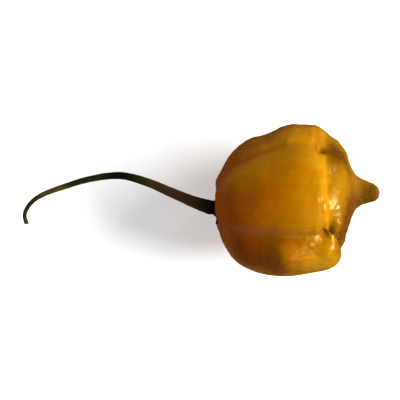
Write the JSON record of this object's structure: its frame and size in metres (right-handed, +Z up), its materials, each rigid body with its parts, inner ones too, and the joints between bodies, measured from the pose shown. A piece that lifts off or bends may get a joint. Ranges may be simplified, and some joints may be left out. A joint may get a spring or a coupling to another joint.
{
  "type": "trinidad moruga scorpion pepper",
  "caption": "Ripe golden-orange lobed hot pepper with a pointed tail and a long curved green stem, as picked, lying on its side.",
  "frame": {"origin": "middle of the small flat spot that the pod rests on", "axes": "+X along the pod from its stem to its tail, +Z up, away from the surface that the pod lies on"},
  "size_m": [0.0949, 0.0401, 0.0372],
  "materials": {
    "pod_skin": "gloss",
    "stem_green": "satin"
  },
  "bodies": {
    "root": {"pod": "pod_skin", "stem": "stem_green"}
  },
  "joints": []
}
